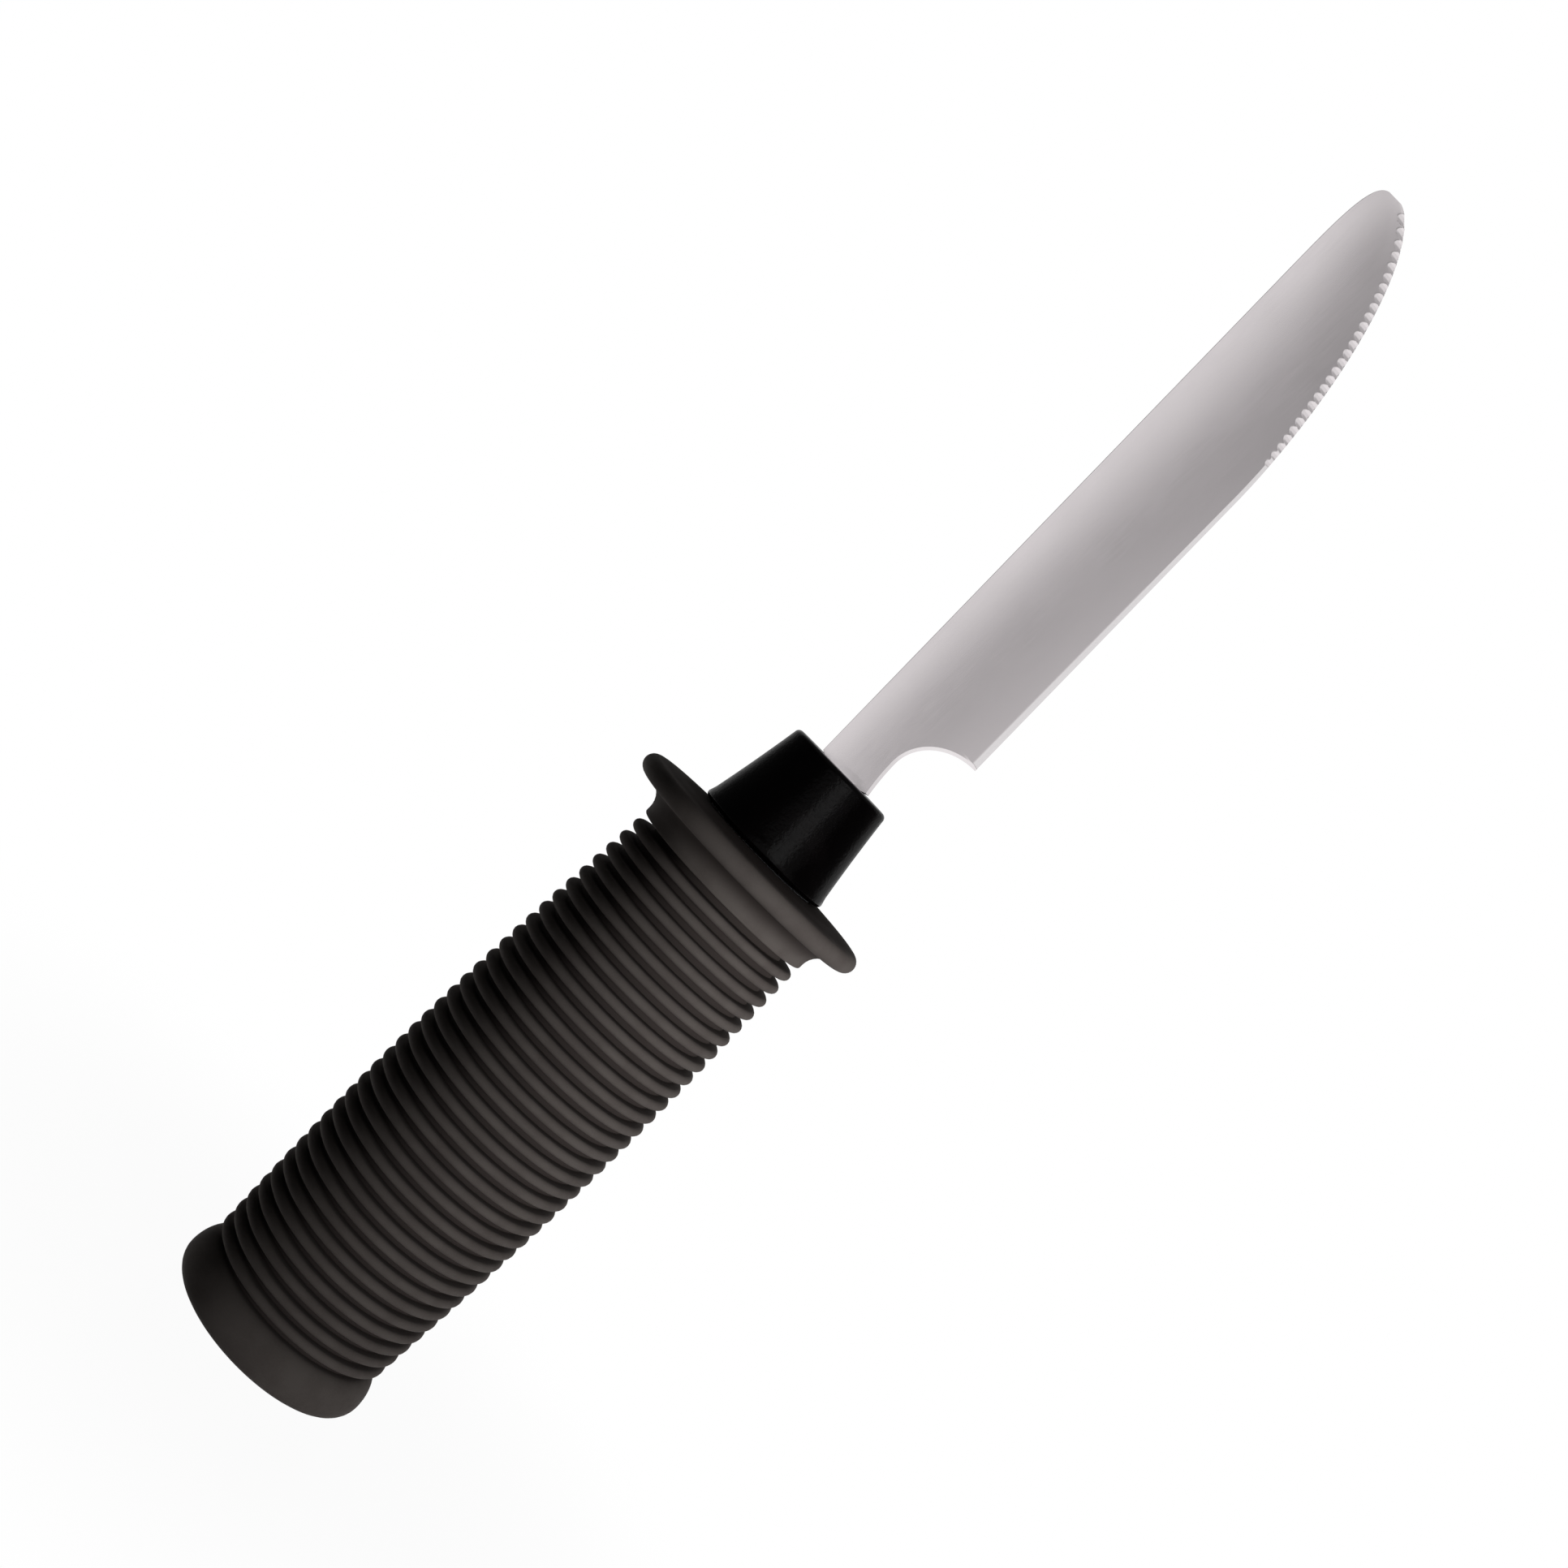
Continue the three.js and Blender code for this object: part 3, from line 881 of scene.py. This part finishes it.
@dataclass
class Blade:
    """Round-tipped blade with a neck, a choil, a ground edge and flutes along its belly."""

    length: float = 120.75
    width: float = 19.0
    back_offset: float = 4.6
    back_thickness: float = 1.8
    tip_thickness: float = 1.2
    tip_thinning: float = 13.0
    edge_thickness: float = 0.7
    edge_land: float = 0.2
    heel_bevel: float = 1.15
    flute_bevel: float = 0.62
    edge_break: float = 0.16
    back_break: float = 0.06
    cut_edge: float = 0.55
    cut_shine: float = 0.4
    heel_step: float = 0.08
    cant: float = 1.8
    belly: float = 49.0
    belly_power: float = 1.85
    nose: float = 20.5
    nose_power: float = 4.0
    tip_angle: float = 85.9
    nose_front: float = 7.0
    neck_start: float = 0.3
    neck: float = 6.6
    neck_width: float = 9.4
    neck_flare: float = 0.5
    choil: float = 8.1
    tang_depth: float = 47.3
    tang_width: float = 8.5
    tang_chamfer: float = 1.5
    flutes: int = 27
    flute_pitch: float = 1.54
    flute_radius: float = 1.25
    flute_reach: float = 1.35
    flute_overcut: float = 0.12
    flute_margin: float = 1.5
    flute_run_in: float = 8.0
    flute_lift: float = 0.15
    flute_shine: float = 0.1
    flute_limit: float = 0.8
    edge_band: float = 2.4
    band_share: float = 0.45
    bevel_share: float = 0.5
    crease: float = 14.0
    crown_rows: int = 14
    band_rows: int = 12
    bevel_rows: int = 6
    neck_columns: int = 7
    choil_columns: int = 25
    edge_columns: int = 30
    columns_per_flute: int = 16
    belly_points: int = 4001

    @property
    def edge_offset(self) -> float:
        """Distance of the straight edge from the axis."""
        return self.width - self.back_offset

    @property
    def neck_edge(self) -> float:
        """Distance of the neck's edge side from the axis."""
        return self.neck_width - self.back_offset

    @property
    def heel(self) -> float:
        """Where along the blade its edge starts."""
        return self.neck + self.choil

    @property
    def belly_start(self) -> float:
        """Where along the blade its edge starts to curve."""
        return self.length - self.belly

    @property
    def flute_start(self) -> float:
        """Where along the blade the first flute is."""
        return self.length - self.flute_margin - (self.flutes - 1) * self.flute_pitch

    def flute_share(self, along: float) -> float:
        """Share of their full depth that the flutes have at a place along the blade."""
        return held((along - self.flute_start) / self.flute_run_in)

    def tip_share(self, along: float, length: float, power: float) -> float:
        """Share of its full offset that an outline keeps on its way to the tip.

        Args:
            along: the place along the blade.
            length: how far before the tip the outline starts to curve.
            power: 2 for an ellipse, more for a blunter curve.

        Returns:
            One on the straight part, and zero at the tip.
        """
        past = held((along - self.length + length) / length)
        return (1 - past ** power) ** (1 / power)

    def edge_at(self, along: float) -> Vector:
        """The edge, straight and then curved up to the tip."""
        return Vector((along, self.edge_offset * self.tip_share(along, self.belly, self.belly_power)))

    def back_at(self, along: float) -> Vector:
        """The back, straight and then rounded down to the tip."""
        return Vector((along, -self.back_offset * self.tip_share(along, self.nose, self.nose_power)))

    def tang_stations(self) -> list[Station]:
        """Draws lines across the tang, from its chamfered end to the neck's shoulders.

        Returns:
            The lines.
        """
        middle = self.neck_edge - self.neck_width / 2
        made = []
        for along, width in ((-self.tang_depth, self.tang_width - 2 * self.tang_chamfer),
                             (self.tang_chamfer - self.tang_depth, self.tang_width), (0.0, self.tang_width)):
            back = Vector((along, middle - width / 2))
            edge = Vector((along, middle + width / 2))
            made.append(self._plain(back, edge, Vector((0, -1)), math.inf))
        return made

    def neck_stations(self) -> list[Station]:
        """Draws lines across the neck, which flares a little to its shoulders, and the choil.

        Returns:
            The lines.
        """
        made = []
        thinning = self.width - self.heel_bevel
        for share in np.linspace(0, 1, self.neck_columns):
            along = self.neck_start + (self.neck - self.neck_start) * share
            edge = Vector((along, self.neck_edge + self.neck_flare * (1 - share) ** 2))
            made.append(self._plain(self.back_at(along), edge, Vector((0, -1)), thinning))
        rise = self.edge_offset - self.neck_edge
        for angle in np.linspace(0, math.pi / 2, self.choil_columns)[1:]:
            bend = rise * (1 - math.cos(angle))
            edge = Vector((self.neck + self.choil * math.sin(angle), self.neck_edge + bend))
            tangent = Vector((self.choil * math.cos(angle), rise * math.sin(angle)))
            inward = Vector((tangent.y, -tangent.x)).normalized()
            back = self.back_at((edge + inward * self.cut_edge).x)
            made.append(self._plain(back, edge, inward, thinning))
        return made

    def edge_stations(self) -> list[Station]:
        """Lines across the straight ground edge, from the heel to the belly."""
        first = self.heel + self.cut_edge + self.heel_step
        return [self._ground(self.back_at(along), self.edge_at(along), Vector((0, -1)))
                for along in np.linspace(first, self.belly_start, self.edge_columns)[:-1]]

    def belly_stations(self) -> list[Station]:
        """Draws lines across the belly, evenly spaced along its curved edge.

        Returns:
            The lines.
        """
        fine = self.belly_start + self.belly * np.sin(np.linspace(0, math.pi / 2, self.belly_points))
        across = np.array([self.edge_at(along).y for along in fine])
        walked = np.concatenate([[0], np.cumsum(np.hypot(np.diff(fine), np.diff(across)))])
        last = self.belly_start + self.belly * math.sin(math.radians(self.tip_angle))
        end = float(np.interp(last, fine, walked))
        count = round(end / self.flute_pitch * self.columns_per_flute)
        made = []
        for distance in np.linspace(0, end, count):
            edge = self.edge_at(float(np.interp(distance, walked, fine)))
            ratio = (edge.x - self.belly_start) / self.belly * self.edge_offset / edge.y
            slope = self.edge_offset / self.belly * ratio ** (self.belly_power - 1)
            back = self.back_at(self.belly_start + (last - self.belly_start) * distance / end)
            square = Vector((-slope, -1)).normalized()
            near_tip = held(1 - (end - distance) / self.nose_front)
            made.append(self._ground(back, edge, square.lerp(Vector((0, -1)), near_tip).normalized()))
        return made

    def _plain(self, back: Vector, edge: Vector, inward: Vector, reach: float) -> Station:
        """A line that ends in a broken corner."""
        return Station(back, edge, inward, self.cut_edge, 0.0, reach)

    def _ground(self, back: Vector, edge: Vector, inward: Vector) -> Station:
        """Draws a line that ends in the ground bevel, which narrows from the heel to the flutes.

        Args:
            back: where it starts.
            edge: where it ends.
            inward: the direction from there into the blade.

        Returns:
            The line.
        """
        across = (edge - back).length
        band = min(self.edge_band, self.band_share * across)
        share = held((edge.x - self.heel) / (self.flute_start - self.heel))
        wide = self.heel_bevel + (self.flute_bevel - self.heel_bevel) * share
        bevel = min(wide, self.bevel_share * band)
        return Station(back, edge, inward, band, bevel, across - bevel)

    def rows(self, station: Station) -> list[tuple[Vector, float]]:
        """Places the points of one line.

        Args:
            station: the line.

        Returns:
            Each point in (along, across), with its distance from the edge.
        """
        inner = station.edge + station.inward * station.band
        column = inner - station.back
        broken = self.back_break / column.length
        shares = [0.0, *np.linspace(broken, 1, self.crown_rows)]
        placed = [(station.back + column * share, station.band + column.length * (1 - share))
                  for share in shares]
        ledge = station.bevel or station.band / 2
        band = np.linspace(station.band, ledge, self.band_rows)
        depths = [*band[1:], *np.linspace(ledge, 0, self.bevel_rows)[1:]]
        placed += [(station.edge + station.inward * depth, depth) for depth in depths]
        return placed

    def half_thickness(self, station: Station, point: Vector, depth: float, row: int) -> float:
        """Finds half the blade's thickness at a point, bevelled or broken towards the edge.

        Args:
            station: the line that the point is on.
            point: the point in (along, across).
            depth: its distance from the edge.
            row: its number on the line.

        Returns:
            The half thickness, without flutes.
        """
        share = held(point.x / self.length)
        half = (self.back_thickness + (self.tip_thickness - self.back_thickness) * share) / 2
        near_tip = held(1 - (self.length - point.x) / self.tip_thinning)
        half += (self.edge_thickness / 2 - half) * near_tip ** 2
        if row == 0:
            return half - self.back_break
        walked = (point - station.back).length
        crown = half - (half - self.edge_thickness / 2) * min(1.0, walked / station.reach) ** 2
        drop = (self.edge_thickness - self.edge_land) / 2 if station.bevel else self.edge_break
        return crown - drop * max(0.0, 1 - depth / (station.bevel or station.band))

    def flute_floor(self, point: Vector) -> float:
        """Finds the floor of the flute nearest to a point.

        Args:
            point: the point in (along, across).

        Returns:
            The floor's Y there, or minus infinity beside the flutes.
        """
        number = min(self.flutes - 1, max(0, round((point.x - self.flute_start) / self.flute_pitch)))
        middle = self.flute_start + number * self.flute_pitch
        beside = abs(point.x - middle)
        if beside >= self.flute_radius:
            return -math.inf
        fall = (self.edge_thickness / 2 + self.flute_overcut) / self.flute_reach
        overcut = self.flute_overcut - self.flute_lift * (1 - self.flute_share(middle))
        round_up = self.flute_radius - math.sqrt(self.flute_radius ** 2 - beside ** 2)
        return overcut - fall * (self.edge_at(middle).y - point.y) - round_up

    def add_face(self, mesh: bmesh.types.BMesh, stations: list[Station], face: Face, root: float) -> None:
        """Adds one face of the blade as a grid laid over its lines.

        Args:
            mesh: the blade so far.
            stations: the lines across the blade.
            face: which face.
            root: height of the collar's top.
        """
        ground = mesh.verts.layers.float.get("ground") or mesh.verts.layers.float.new("ground")
        lines = [self.rows(station) for station in stations]
        last_column = len(stations) - 1
        last_row = len(lines[0]) - 1
        grid = bmesh.ops.create_grid(mesh, x_segments=last_column, y_segments=last_row, size=1.0)
        lean = math.tan(math.radians(self.cant))
        for vert in grid["verts"]:
            column = round((vert.co.x + 1) / 2 * last_column)
            row = round((vert.co.y + 1) / 2 * last_row)
            station = stations[column]
            point, depth = lines[column][row]
            half = self.half_thickness(station, point, depth, row)
            # The ground attribute lightens the steel, partly as painted highlight: fully on the bevel, less
            # on the choil's broken corner, least in the flutes
            shine = 1.0 if station.bevel else self.cut_shine
            vert[ground] = shine if depth < (station.bevel or station.band) - WELD else 0.0
            through = face.value * half
            if face is Face.FLUTED and depth < station.bevel:
                fluted = self.flute_share(point.x)
                through -= fluted * (self.edge_thickness / 2 - half)
                vert[ground] *= 1 - fluted
            if face is Face.FLUTED and self.flute_floor(point) > through:
                through = min(self.flute_floor(point), self.flute_limit * half)
                vert[ground] = self.flute_shine
            vert.co = Vector((point.y - lean * max(0.0, point.x), through, root + point.x)) * MM

    def build(self) -> None:
        """Builds both faces, closes the rim between them and dresses the blade in satin steel."""
        stations = self.tang_stations() + self.neck_stations() + self.edge_stations() + self.belly_stations()
        mesh = bmesh.new()
        for face in Face:
            self.add_face(mesh, stations, face, top_of("collar"))
        rim = [edge for edge in mesh.edges if edge.is_boundary]
        bmesh.ops.bridge_loops(mesh, edges=rim)
        bmesh.ops.recalc_face_normals(mesh, faces=mesh.faces)
        made = to_object(mesh, "blade_satin", self.crease)
        dress(made, Slot.BLADE, SatinSteel().material(), ["blade"])


@dataclass
class InnerParts:
    """The core tube and the two pins, which keep their CAD form out of view."""

    core_colour: Colour = (0.1, 0.1, 0.108)

    def dress(self) -> None:
        """Gives the hidden CAD nodes their finishes."""
        core = MouldedPlastic("core_plastic", self.core_colour).material()
        rod = DrawnSteel().material()
        for node, material in (("core_tube", core), ("tang_pin_upper", rod), ("tang_pin_lower", rod)):
            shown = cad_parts[node]
            shown.data.materials.clear()
            shown.data.materials.append(material)
            LOG.info("%s: CAD solid, %s", node, material.name)


# Studio, with its floor and its lamps in metres


@dataclass
class PhotoCamera:
    """The photograph's camera, fitted to the ribs and the outline of the butt."""

    lens: float = 50.16
    sensor: float = 36.0
    picture_width: float = 241.5
    tilt: float = 2.03
    turn: float = 0.88
    aim_height: float = 98.6
    # In shares of the picture's width
    aim_along: float = -0.0806
    aim_across: float = 0.0196
    nearest: float = 10.0

    def build(self) -> None:
        """Places the camera so that the axis runs up to the right, a little towards the lens."""
        tilt, turn = math.radians(self.tilt), math.radians(self.turn)
        # The part's axes as the picture sees them: along its rising diagonal, across it, and away
        axis = Vector((math.cos(tilt) * math.cos(turn), math.cos(tilt) * math.sin(turn), -math.sin(tilt)))
        away = Vector((0, 0, 1))
        behind = (away - axis * away.dot(axis)).normalized()
        seen = Matrix((behind.cross(axis), behind, axis))
        right = seen @ Vector((1, 1, 0)).normalized()
        up = seen @ Vector((1, -1, 0)).normalized()
        aim = Vector((self.aim_along, self.aim_across, self.lens / self.sensor)) * self.picture_width
        place = (Vector((0, 0, self.aim_height)) - seen @ aim) * MM
        data = bpy.data.cameras.new("photo_camera")
        data.lens = self.lens
        data.sensor_width = self.sensor
        data.clip_start = self.nearest * MM
        camera = bpy.data.objects.new("photo_camera", data)
        turned = Matrix((right, up, -(seen @ away))).transposed().to_4x4()
        camera.matrix_world = Matrix.Translation(place) @ turned
        bpy.context.scene.collection.objects.link(camera)
        bpy.context.scene.camera = camera


@dataclass(frozen=True)
class Softbox:
    """One rectangular studio light, aimed at the knife."""

    name: str
    azimuth: float
    height: float
    distance: float
    size: tuple[float, float]
    power: float
    aim_height: float = 0.11
    spread: float = 180.0
    only: bpy.types.Object | None = None

    def build(self) -> None:
        """Hangs the light; its azimuth is measured from the camera's side towards the cutting edge.

        A light for one piece alone also shows in that piece's gloss, and the others stay out of all gloss.
        """
        around = math.radians(self.azimuth)
        place = Vector((math.sin(around) * self.distance, -math.cos(around) * self.distance, self.height))
        data = bpy.data.lights.new(self.name, "AREA")
        data.shape = "RECTANGLE"
        data.size, data.size_y = self.size
        data.energy = self.power
        data.spread = math.radians(self.spread)
        lamp = bpy.data.objects.new(self.name, data)
        lamp.location = place
        lamp.visible_glossy = self.only is not None
        if self.only:
            receivers = bpy.data.collections.new(f"{self.name}_receivers")
            receivers.objects.link(self.only)
            lamp.light_linking.receiver_collection = receivers
        lamp.rotation_euler = (Vector((0, 0, self.aim_height)) - place).to_track_quat("-Z", "Y").to_euler()
        bpy.context.scene.collection.objects.link(lamp)


@dataclass
class Studio:
    """White room: floor, world, softboxes and camera."""

    floor_radius: float = 3.0
    floor_sides: int = 96
    floor_level: float = 0.9
    shadow_core: float = 0.2
    shadow_radius: float = 0.12
    shadow_share: float = 0.04
    room_light: float = 0.055
    room_top: float = 0.7
    card_light: float = 1.0
    wing_light: float = 0.86
    card_dark: float = 0.325
    card_edge: Range = (0.005, 0.06)
    card_foot: Range = (0.12, 0.29)
    foot_edge: Range = (0.06, 0.17)
    foot_share: float = 0.42
    card_end: Range = (0.33, 0.41)
    end_share: float = 0.45
    end_fall: float = 0.14
    card_rim: Range = (0.37, 0.46)
    rim_fall: float = 0.26
    card_left: Range = (0.06, 0.16)
    card_top: Range = (0.28, 0.36)
    wing_start: Range = (0.28, 0.45)
    wing_end: Range = (0.78, 0.9)
    back_wing: Range = (0.5, 0.8)
    back_light: float = 0.75
    back_start: Range = (-0.1, 0.2)
    far_light: float = 0.5
    far_start: Range = (0.6, 0.9)
    dim: float = 0.12
    ceiling: float = 0.5
    ceiling_start: Range = (0.5, 0.75)
    least_level: float = 0.0001

    def build(self, collar: bpy.types.Object) -> None:
        """Builds the whole set.

        Args:
            collar: the black collar, which has a light of its own.
        """
        self.lay_floor()
        self.light_world()
        Softbox("key_softbox", azimuth=50, height=0.12, distance=0.6, size=(0.35, 0.16), power=0.27,
                aim_height=0.12, spread=34).build()
        Softbox("back_softbox", azimuth=180, height=0.12, distance=1.2, size=(0.3, 0.3), power=1.0,
                aim_height=0.12, spread=34).build()
        Softbox("strip_softbox", azimuth=20, height=0.38, distance=0.8, size=(0.4, 0.3), power=1.35,
                only=collar).build()
        PhotoCamera().build()
        bpy.context.scene.view_settings.view_transform = "Standard"

    @staticmethod
    def seen_directly(nodes: Nodes) -> Wire:
        """Finds the rays that show the set itself, straight or in gloss or glass.

        Args:
            nodes: the tree.

        Returns:
            One for those rays, and zero for the others.
        """
        path = nodes.add("ShaderNodeLightPath", {}, {})
        shown = [Wire(nodes, path.outputs[name]) for name in
                 ("Is Camera Ray", "Is Glossy Ray", "Is Transmission Ray")]
        return shown[0] + shown[1] + shown[2]

    def lay_floor(self) -> None:
        """Lays a pale floor that keeps the soft shadow near the butt and is white further out."""
        mesh = bmesh.new()
        bmesh.ops.create_circle(mesh, cap_ends=True, radius=self.floor_radius, segments=self.floor_sides)
        floor = to_object(mesh, "floor", CREASE)
        material, nodes = new_material("floor_white")
        _, (across, through, _) = nodes.place()
        distance = (across ** 2 + through ** 2) ** 0.5
        near = 1 - distance.between(self.shadow_core * self.shadow_radius, self.shadow_radius)
        white = self.seen_directly(nodes) * (1 - near * self.shadow_share)
        level = (self.floor_level,) * 3
        matte = nodes.add("ShaderNodeBsdfDiffuse", {}, {"Color": (*level, 1.0)})
        glow = nodes.add("ShaderNodeEmission", {}, {"Color": (1, 1, 1, 1), "Strength": 1.0})
        blend = nodes.add("ShaderNodeMixShader", {}, {0: white, 1: matte.outputs[0], 2: glow.outputs[0]})
        nodes.add("ShaderNodeOutputMaterial", {}, {"Surface": blend.outputs[0]})
        floor.data.materials.append(material)

    def gloss_level(self, sideways: Wire, depth: Wire, height: Wire) -> Wire:
        """What metal mirrors: a white card by the camera with a grey patch on it, and dim walls behind.

        Args:
            sideways: the direction's share towards the edge's side, among the level directions.
            depth: its part away from the camera.
            height: its part upwards.

        Returns:
            The brightness in that direction.
        """
        foot = (1 - height.between(*self.card_foot)) * sideways.between(*self.foot_edge)
        end = height.between(*self.card_end)
        patch = sideways.between(*self.card_edge) * (1 - self.foot_share * foot) * (1 - self.end_share * end)
        fall = self.end_fall * end + self.rim_fall * height.between(*self.card_rim)
        card = (self.card_light - patch * (self.card_light - self.card_dark)) * (1 - fall)
        card = card.towards(self.wing_light, sideways.between(*self.wing_start))
        card = card.towards(self.dim, (0 - sideways).between(*self.wing_start))
        high = height.between(*self.card_top)
        card = card.towards(self.dim, (0 - sideways).between(*self.card_left) * high)
        wall = self.dim + sideways.between(*self.back_wing) * (self.back_light - self.dim)
        wall = wall.towards(self.far_light, depth.between(*self.far_start))
        room = card.towards(wall, depth.between(*self.back_start))
        room = room.towards(self.dim, sideways.between(*self.wing_end))
        return room.towards(self.ceiling, height.between(*self.ceiling_start))

    def light_world(self) -> None:
        """Lights the room: white to the eye, a card and walls in gloss, and else dim, fading upwards."""
        world = bpy.data.worlds.new("white_room")
        world.use_nodes = True
        bpy.context.scene.world = world
        nodes = Nodes(world.node_tree)
        direction = nodes.wire("ShaderNodeTexCoord", {}, {}, "Generated")
        parts = nodes.add("ShaderNodeSeparateXYZ", {}, {0: direction})
        across, depth, height = (Wire(nodes, output) for output in parts.outputs)
        sideways = across / (across ** 2 + depth ** 2 + self.least_level) ** 0.5
        path = nodes.add("ShaderNodeLightPath", {}, {})
        glossy = Wire(nodes, path.outputs["Is Glossy Ray"])
        shown = (self.seen_directly(nodes) - glossy) + glossy * self.gloss_level(sideways, depth, height)
        room = self.room_light * (1 - height.between(0.0, self.room_top))
        strength = room.towards(shown, self.seen_directly(nodes))
        background = nodes.add("ShaderNodeBackground", {}, {"Color": (1, 1, 1, 1), "Strength": strength})
        nodes.add("ShaderNodeOutputWorld", {}, {"Surface": background.outputs[0]})


def main() -> None:
    """Builds the pieces and the set."""
    logging.basicConfig(level=logging.INFO, format="%(message)s")
    Blade().build()
    collar = Collar().build()
    GripSleeve().build()
    EndPlug().build()
    InnerParts().dress()
    Studio().build(collar)


if __name__ == "__main__":
    main()
